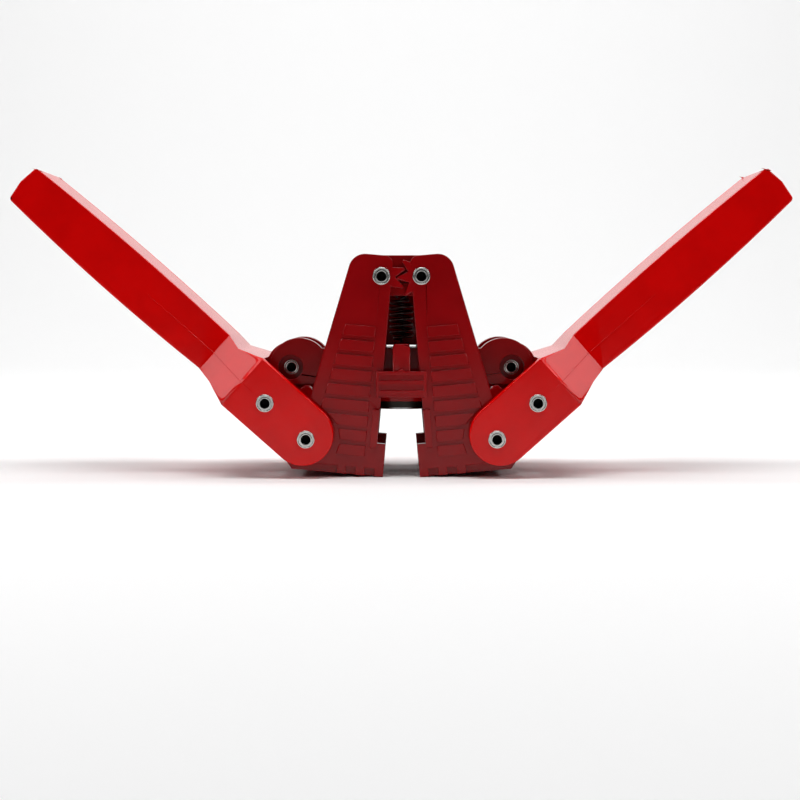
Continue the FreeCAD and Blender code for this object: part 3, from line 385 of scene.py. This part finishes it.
turned_finish = add(turned_tree, "GeometryNodeSetMaterial", links={
    "Geometry": turned_real.outputs["Geometry"], "Material": turned_in.outputs["Finish"]})
turned_tree.links.new(turned_finish.outputs["Geometry"], turned_out.inputs["Geometry"])


def turned_part(name, section, material, places, turn):
    """Sweep a section given as radius and height in mm, and shade it smooth except at sharp edges."""
    points = [(radius * MM, -height * MM, 0) for radius, height in section]
    edges = [(index, (index + 1) % len(points)) for index in range(len(points))]
    piece = grown(name, points, edges, turned_tree, {
        "Steps round": STEPS_ROUND, "Turn": turn, "First place": places[0], "Second place": places[-1],
        "Finish": material})
    shape = bmesh.new()
    shape.from_mesh(piece.data)
    bmesh.ops.remove_doubles(shape, verts=shape.verts, dist=MERGE_WITHIN)
    bmesh.ops.recalc_face_normals(shape, faces=shape.faces)
    for face in shape.faces:
        face.smooth = True
    for edge in shape.edges:
        edge.smooth = edge.calc_face_angle(0) < SMOOTH_BELOW
    shape.to_mesh(piece.data)
    shape.free()
    return piece


def rolled_rivet(half_length, head):
    """A semi-tubular rivet's section: at each end a bore, a thin lip, a groove and a rolled ring."""
    lip_middle, ring_middle = RIVET_BORE + LIP_HALF, head - RING_HALF
    top = half_length + RIVET_PROUD
    end = [(0.0, half_length - BORE_DEPTH), (RIVET_BORE, half_length - BORE_DEPTH),
           (RIVET_BORE, top - LIP_HEIGHT)]
    for step in range(LIP_STEPS + 1):
        angle = math.pi - step * math.pi / LIP_STEPS
        end.append((lip_middle + LIP_HALF * math.cos(angle),
                    top - LIP_HEIGHT + LIP_HEIGHT * math.sin(angle)))
    end.append((lip_middle + LIP_FOOT, top - GROOVE_DEPTH))
    end.append((ring_middle - RING_HALF, top - GROOVE_DEPTH))
    for step in range(RING_STEPS + 1):
        angle = math.pi - step * math.pi / RING_STEPS
        end.append((ring_middle + RING_HALF * math.cos(angle),
                    top - RING_DROP + RING_HALF * math.sin(angle)))
    end += [(head, half_length), (RIVET_SHANK, half_length)]
    return end + [(radius, -height) for radius, height in reversed(end)]


nickel = plated("nickel_plated_rivet", NICKEL, NICKEL_CLOUD, 0.17, 0.26, 0.8)
# the bores are drawn in a dark steel, a painted shade for the deep holes
bore_shade_steel = plated("bore_painted_shade_steel", BORE_PAINTED_SHADE, BORE_PAINTED_SHADE_DEEP, 0.4, 0.55, 1.0)
ALONG_DEPTH = (math.radians(90), 0, 0)


def middle_of(node):
    """The middle of a CAD piece's box."""
    low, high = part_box(node)
    return (low + high) / 2


rivet_sets = [("jaw_rivets", "frame", ("jaw_rivet_left", "jaw_rivet_right")),
              ("arm_rivets", "slide", ("arm_rivet_left", "arm_rivet_right"))]
rivet_sets += [(f"lever_rivets_{name}", f"{name}_lever", (f"lever_rivet_{name}", f"link_rivet_{name}"))
               for side, name in SIDES]
for set_name, body, nodes in rivet_sets:
    low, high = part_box(nodes[0])
    half_length = (high.y - low.y) / 2 / MM - RIVET_PROUD
    head = (high.x - low.x) / 2 / MM
    axes = [middle_of(node) for node in nodes]
    rivets = turned_part(set_name, rolled_rivet(half_length, head), nickel, axes, ALONG_DEPTH)
    # the faces inside each bore take the dark steel, a painted shade
    rivets.data.materials.append(bore_shade_steel)
    for face in rivets.data.polygons:
        out_from_axis = min(max(math.hypot(rivets.data.vertices[index].co.x - axis.x,
                                           rivets.data.vertices[index].co.z - axis.z)
                                for index in face.vertices) for axis in axes)
        if out_from_axis < (RIVET_BORE + BORE_MARGIN) * MM:
            face.material_index = len(rivets.data.materials) - 1
    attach(rivets, body)
    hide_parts(*nodes)

# ---- Bell, magnet and screw -------------------------------------------------------------------
# The crimping bell is turned steel, coloured dark all over as painted shade, with a bright glossy band at
# its mouth as a painted highlight. A nickelled ring magnet sits in its ceiling, held by a countersunk screw.
BELL_PAINTED_SHADE = "#2B2725"
BELL_SHADE_CLOUD = "#3D3835"
MOUTH_PAINTED_HIGHLIGHT = "#E2E3E4"
MOUTH_HIGHLIGHT_CLOUD = "#C6C8CA"
MOUTH_HIGHLIGHT_BAND = 0.8 * MM
MAGNET_BRIGHT = "#C9CACC"
MAGNET_CLOUD = "#B0B2B5"
MAGNET_EDGE, SCREW_EDGE, BELL_EDGE = 0.15 * MM, 0.1 * MM, 0.2 * MM
# the bell's dark steel is painted shade, and the mouth's bright steel is a painted highlight
painted_shade_bell = plated("bell_painted_shade_steel", BELL_SHADE_CLOUD, BELL_PAINTED_SHADE, 0.3, 0.42, 4.0)
polished = plated("mouth_painted_highlight_steel", MOUTH_PAINTED_HIGHLIGHT, MOUTH_HIGHLIGHT_CLOUD, 0.12, 0.2, 5.0)
magnet_nickel = plated("nickelled_magnet", MAGNET_BRIGHT, MAGNET_CLOUD, 0.14, 0.24, 2.0)
rounded_copy("bell_magnet", "slide", magnet_nickel, MAGNET_EDGE, moulded=False)
rounded_copy("magnet_screw", "slide", nickel, SCREW_EDGE, moulded=False)
bell = rounded_copy("crimping_bell", "slide", painted_shade_bell, BELL_EDGE, moulded=False)
bell.data.materials.append(polished)
# faces at the bell's mouth take the bright steel, a painted highlight on the rim
for face in bell.data.polygons:
    if max(bell.data.vertices[index].co.z for index in face.vertices) < MOUTH_HIGHLIGHT_BAND:
        face.material_index = 1

# ---- Return spring ----------------------------------------------------------------------------
# A coil of 1.2 mm drawn music wire, coloured a dark steel grey. Its ends cross to the middle and close in
# loops, one round the pin in the carriage and one round the pin in the bridge, so it stretches between them.
WIRE_STEEL = "#6E6A66"
WIRE_DARKER = "#3F3B38"
COIL_RADIUS, WIRE_RADIUS, LOOP_RADIUS = 3.9, 0.6, 2.3
COIL_FOOT, COIL_HEAD, COIL_TURNS = 25.0, 40.7, 7
STEPS_PER_TURN = 40
LOOP_SWEEP, LOOP_STEPS = 330, 24
WIRE_SIDES = 12
PIN_EDGE = 0.08 * MM


def spring_path():
    """Points of one wire: lower loop, a spiral out, the coil, a spiral in, and the upper loop."""
    points = []
    for step in range(LOOP_STEPS + 1):
        angle = math.radians(90 - LOOP_SWEEP + step * LOOP_SWEEP / LOOP_STEPS)
        points.append((0, LOOP_RADIUS * math.cos(angle),
                       COIL_FOOT - LOOP_RADIUS + LOOP_RADIUS * math.sin(angle)))
    total = COIL_TURNS * STEPS_PER_TURN
    for step in range(1, total + 1):
        share = step / total
        reach = min(1, share * COIL_TURNS * 2, (1 - share) * COIL_TURNS * 2)
        reach = reach * reach * (3 - 2 * reach)
        angle = 2 * math.pi * COIL_TURNS * share + math.pi / 2
        points.append((COIL_RADIUS * reach * math.cos(angle), COIL_RADIUS * reach * math.sin(angle),
                       COIL_FOOT + share * (COIL_HEAD - COIL_FOOT)))
    for step in range(1, LOOP_STEPS + 1):
        angle = math.radians(-90 + step * LOOP_SWEEP / LOOP_STEPS)
        points.append((LOOP_RADIUS * math.cos(angle), 0,
                       COIL_HEAD + LOOP_RADIUS + LOOP_RADIUS * math.sin(angle)))
    return [Vector(point) * MM for point in points]


music_wire = plated("dark_music_wire", WIRE_STEEL, WIRE_DARKER, 0.28, 0.42, 1.5)
wire_points = spring_path()
wire_joins = [(index, index + 1) for index in range(len(wire_points) - 1)]
spring = grown("return_spring_wire", wire_points, wire_joins, wire_tree, {
    "Wire radius": WIRE_RADIUS * MM, "Sides": WIRE_SIDES, "Finish": music_wire})
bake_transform(spring, "frame", "slide", start=(0, 0, COIL_HEAD * MM), end=(0, 0, COIL_FOOT * MM))
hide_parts("return_spring")
for node, body in (("spring_pin_upper", "frame"), ("spring_pin_lower", "slide")):
    rounded_copy(node, body, nickel, PIN_EDGE, moulded=False)

# ---- Table, light and camera ------------------------------------------------------------------
# A seamless white table that curves up behind, soft lights at both sides and above, and one lamp that
# lights the backdrop. The room behind the camera is dim, so the red faces stay deep.
floor_level = cad_low.z
table_mesh = bpy.data.meshes.new("table")
TABLE_HALF, TABLE_BACK, TABLE_RISE = 4.0, 0.9, 2.4
TABLE_CURVE = 0.6
CURVE_STEPS = 16
PAPER_WHITE, PAPER_ROUGHNESS, ROOM_LIGHT = "#F7F7F7", 0.9, 0.03
CAMERA_PLACE, CAMERA_DIP = (-0.0005, -0.592, 0.0373), 3.38
LENS_MM, SENSOR_MM = 70.65, 36
profile = [(-TABLE_HALF, 0.0), (TABLE_BACK, 0.0)]
for step in range(1, CURVE_STEPS + 1):
    angle = step / CURVE_STEPS * math.pi / 2
    profile.append((TABLE_BACK + TABLE_CURVE * math.sin(angle),
                    TABLE_CURVE * (1 - math.cos(angle))))
profile.append((TABLE_BACK + TABLE_CURVE, TABLE_RISE))
table_points = [(x, y, floor_level + z) for y, z in profile for x in (-TABLE_HALF, TABLE_HALF)]
table_faces = [(2 * i, 2 * i + 1, 2 * i + 3, 2 * i + 2) for i in range(len(profile) - 1)]
table_mesh.from_pydata(table_points, [], table_faces)
for polygon in table_mesh.polygons:
    polygon.use_smooth = True
table = bpy.data.objects.new("table", table_mesh)
scene.collection.objects.link(table)
paper = bpy.data.materials.new("white_background_paper")
paper.use_nodes = True
paper.node_tree.nodes["Principled BSDF"].inputs["Base Color"].default_value = linear(PAPER_WHITE)
paper.node_tree.nodes["Principled BSDF"].inputs["Roughness"].default_value = PAPER_ROUGHNESS
table_mesh.materials.append(paper)
table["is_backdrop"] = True

world = bpy.data.worlds.new("studio")
world.use_nodes = True
world.node_tree.nodes["Background"].inputs["Color"].default_value = linear("#FFFFFF")
world.node_tree.nodes["Background"].inputs["Strength"].default_value = ROOM_LIGHT
scene.world = world
# label, watts, width and height in metres, where it hangs, and what it points at
for label, power, width, height, spot, aim in (
        ("left_softbox", 3.3, 0.4, 0.6, (-0.9, -0.12, 0.8), (0, 0, 0.03)),
        ("right_softbox", 3.3, 0.4, 0.6, (0.9, -0.12, 0.8), (0, 0, 0.03)),
        ("top_softbox", 6.8, 0.9, 0.4, (0, -0.25, 1.05), (0, 0, 0.03)),
        ("background_light", 18.0, 2.6, 0.5, (0, 0.45, 1.3), (0, 1.45, 0.15))):
    lamp = bpy.data.lights.new(label, "AREA")
    lamp.shape = "RECTANGLE"
    lamp.size, lamp.size_y = width, height
    lamp.energy = power
    holder = bpy.data.objects.new(label, lamp)
    holder.location = spot
    holder.rotation_euler = (Vector(aim) - Vector(spot)).to_track_quat("-Z", "Y").to_euler()
    scene.collection.objects.link(holder)

camera = bpy.data.cameras.new("camera")
camera.sensor_width = SENSOR_MM
camera.lens = LENS_MM
camera.clip_start = 0.01
eye = bpy.data.objects.new("camera", camera)
eye.location = CAMERA_PLACE
eye.rotation_euler = (math.radians(90 - CAMERA_DIP), 0, 0)
scene.collection.objects.link(eye)
scene.camera = eye
scene.view_settings.view_transform = "Standard"

bpy.context.view_layer.update()
low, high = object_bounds()
